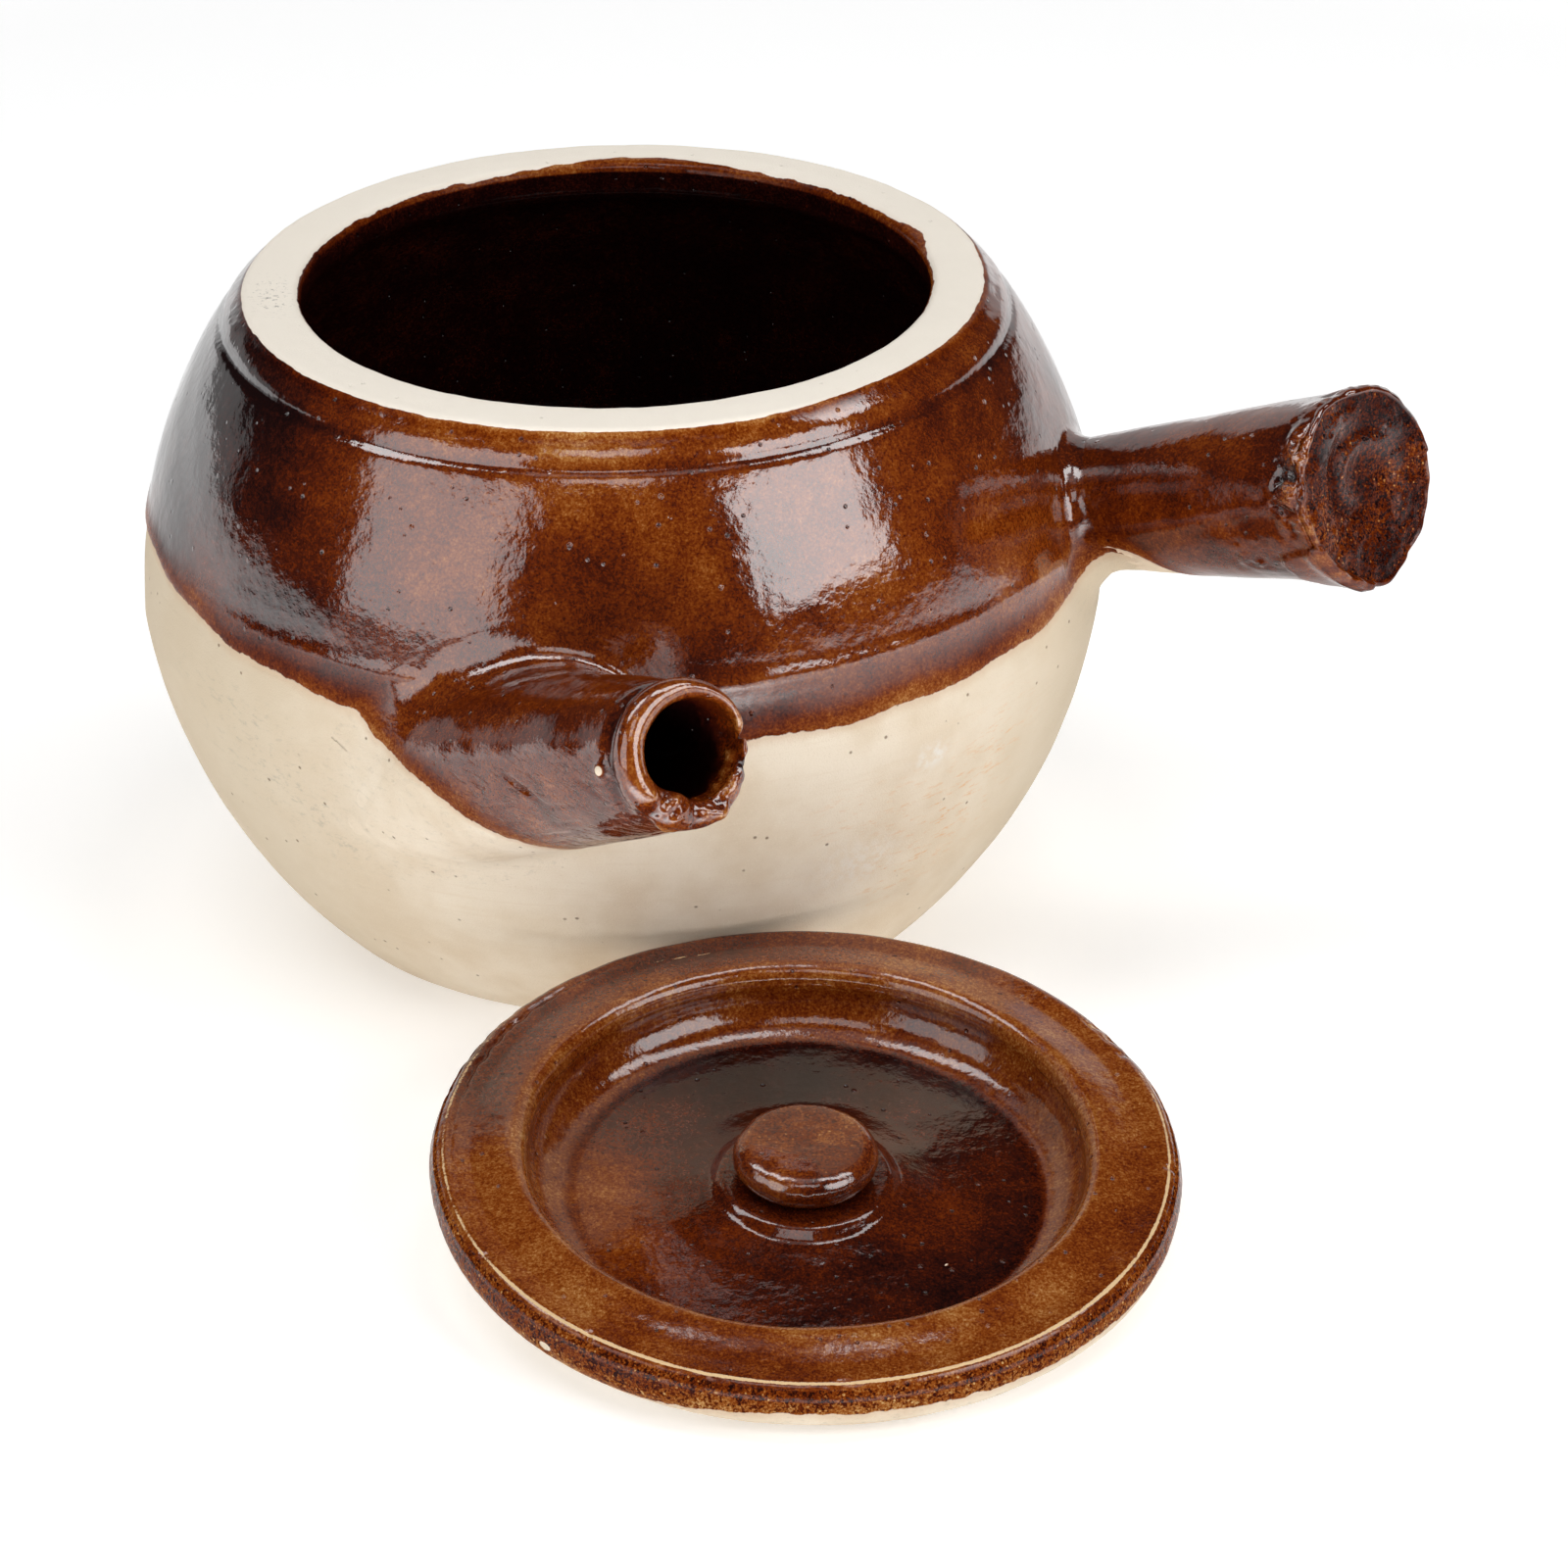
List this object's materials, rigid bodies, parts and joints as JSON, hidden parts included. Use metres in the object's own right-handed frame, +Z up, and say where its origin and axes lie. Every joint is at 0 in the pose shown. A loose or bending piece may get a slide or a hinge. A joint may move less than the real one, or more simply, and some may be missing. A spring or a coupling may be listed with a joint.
{
  "type": "clay medicine pot",
  "caption": "Round clay decoction pot with a bare rim, glazed shoulder, tube spout, solid side handle and a loose dished lid with a button knob.",
  "frame": {"origin": "centre of the flat foot, on the table", "axes": "+Z up along the pot's axis; -Y toward the viewer of the picture; the handle is on the +X side"},
  "size_m": [0.2646, 0.3249, 0.138],
  "materials": {
    "bare_clay": "matte buff fired clay, with brown glaze over the shoulder",
    "brown_glaze": "glossy red-brown glaze, mottled, amber where it is thin",
    "dark_glaze": "glossy dark brown glaze",
    "worn_glaze": "brown glaze worn lighter on top"
  },
  "bodies": {
    "pot": {"pot_body": "bare_clay", "spout": "dark_glaze", "spout_collar": "brown_glaze", "handle": "dark_glaze", "handle_collar": "brown_glaze"},
    "lid": {"lid": "brown_glaze", "lid_knob": "worn_glaze"}
  },
  "joints": [
    {"name": "lid_lift_away", "type": "slide", "parent": "pot", "child": "lid", "axis": [0.2162, -0.9145, 0.342], "range_m": [0, 0.2]}
  ]
}
